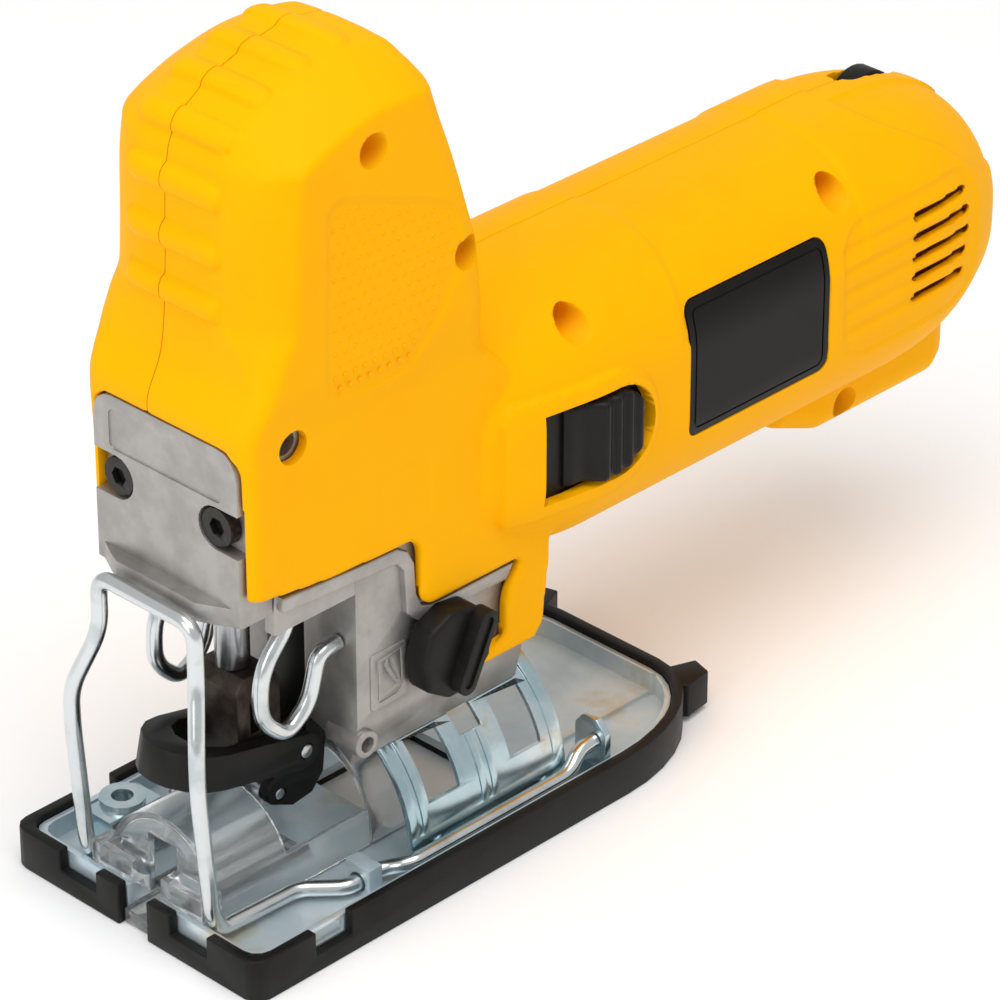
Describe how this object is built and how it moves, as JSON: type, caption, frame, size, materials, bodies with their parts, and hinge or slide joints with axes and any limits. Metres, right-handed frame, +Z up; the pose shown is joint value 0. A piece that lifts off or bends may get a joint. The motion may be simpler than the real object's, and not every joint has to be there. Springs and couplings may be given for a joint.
{
  "type": "jigsaw power tool",
  "caption": "Body-grip jigsaw: clamshell body with cast nose, plunger and lever blade clamp, orbit knob, bevelling saddle and shoe with wire finger guard.",
  "frame": {"origin": "bottom centre of the bounding box, on the plane of the shoe's sole", "axes": "+X towards the motor end, -X the cutting front, +Y the tool's right, +Z up from the sole"},
  "size_m": [0.264, 0.08, 0.201],
  "materials": {
    "yellow_shell": "moulded glass-filled nylon, satin",
    "badge_black": "smooth label, satin",
    "cast_aluminium": "die cast, fine grain",
    "zinc_steel": "bright zinc plate",
    "black_screw": "black oxide",
    "dark_steel": "oiled sintered steel",
    "bright_steel": "ground",
    "copper": "turned copper",
    "bronze": "sintered bronze",
    "carbon": "pressed carbon",
    "black_plastic": "moulded nylon, fine grain",
    "clear_plastic": "clear polycarbonate"
  },
  "bodies": {
    "shoe": {"overshoe": "black_plastic", "shoe_plate": "zinc_steel", "bevel_saddle": "zinc_steel", "saddle_rivet_1": "zinc_steel", "saddle_rivet_2": "zinc_steel", "saddle_rivet_3": "zinc_steel", "saddle_rivet_4": "zinc_steel", "fence_bush": "zinc_steel", "guard_wire": "zinc_steel", "chip_shield": "clear_plastic", "dust_sleeve": "clear_plastic", "splinter_insert": "clear_plastic"},
    "tool_body": {"housing_left": "yellow_shell", "housing_right": "yellow_shell", "housing_screw_1": "black_screw", "housing_screw_2": "black_screw", "housing_screw_3": "black_screw", "housing_screw_4": "black_screw", "housing_screw_5": "black_screw", "case_side_screw": "black_screw", "badge_left": "badge_black", "badge_right": "badge_black", "gear_case": "cast_aluminium", "nose_cover": "cast_aluminium", "nose_screw_left": "black_screw", "nose_screw_right": "black_screw", "field_stator": "bright_steel", "front_bearing": "bright_steel", "rear_bearing": "bright_steel", "brush_holder_left": "bronze", "brush_holder_right": "bronze", "brush_left": "carbon", "brush_right": "carbon", "lower_bush": "bronze", "upper_bush": "bronze", "gear_axle": "bright_steel", "fork_pivot_pin": "bright_steel", "clamp_guard_left": "zinc_steel", "clamp_guard_right": "zinc_steel", "bevel_screw": "black_screw", "bevel_clamp_plate": "zinc_steel", "switch_module": "black_plastic", "speed_module": "black_plastic", "power_inlet": "black_plastic"},
    "armature": {"armature_shaft": "bright_steel", "armature_core": "bright_steel", "commutator": "copper", "cooling_fan": "black_plastic"},
    "main_gear": {"drive_gear": "bright_steel"},
    "plunger_rod": {"plunger": "bright_steel", "blade_clamp_body": "dark_steel", "lever_pin": "bright_steel"},
    "lever": {"clamp_lever": "black_plastic"},
    "fork": {"roller_fork": "black_plastic", "roller_pin": "bright_steel"},
    "roller": {"guide_roller": "bright_steel"},
    "selector": {"orbit_selector": "black_plastic"},
    "slider": {"switch_slider": "black_plastic"},
    "dial": {"speed_dial": "black_plastic"}
  },
  "joints": [
    {"name": "bevel_tilt", "type": "hinge", "parent": "shoe", "child": "tool_body", "pos_m": [-0.052, 0, 0.008], "axis": [1, 0, 0], "range_deg": [-45, 45]},
    {"name": "armature_spin", "type": "hinge", "parent": "tool_body", "child": "armature", "pos_m": [0.028, 0, 0.093], "axis": [1, 0, 0], "continuous": true},
    {"name": "gear_spin", "type": "hinge", "parent": "tool_body", "child": "main_gear", "pos_m": [-0.084, 0, 0.1146], "axis": [1, 0, 0], "continuous": true},
    {"name": "plunger_stroke", "type": "slide", "parent": "tool_body", "child": "plunger_rod", "axis": [0, 0, 1], "range_m": [0, 0.022]},
    {"name": "clamp_lever_lift", "type": "hinge", "parent": "plunger_rod", "child": "lever", "pos_m": [-0.089, 0, 0.033], "axis": [0, 1, 0], "range_deg": [0, 22], "stiffness_Nm_per_rad": 0.05},
    {"name": "fork_swing", "type": "hinge", "parent": "tool_body", "child": "fork", "pos_m": [-0.078, 0, 0.074], "axis": [0, 1, 0], "range_deg": [-3, 0], "stiffness_Nm_per_rad": 0.5},
    {"name": "roller_spin", "type": "hinge", "parent": "fork", "child": "roller", "pos_m": [-0.0915, 0, 0.02], "axis": [0, 1, 0], "continuous": true},
    {"name": "orbit_select", "type": "hinge", "parent": "tool_body", "child": "selector", "pos_m": [-0.06, -0.028, 0.054], "axis": [0, 1, 0], "range_deg": [0, 120]},
    {"name": "switch_slide", "type": "slide", "parent": "tool_body", "child": "slider", "axis": [-1, 0, 0], "range_m": [0, 0.006]},
    {"name": "speed_turn", "type": "hinge", "parent": "tool_body", "child": "dial", "pos_m": [0.111, 0.005, 0.1174], "axis": [0, 1, 0], "range_deg": [0, 270]}
  ],
  "couplings": [
    {"joint": "gear_spin", "follows": "armature_spin", "ratio": -0.2}
  ]
}
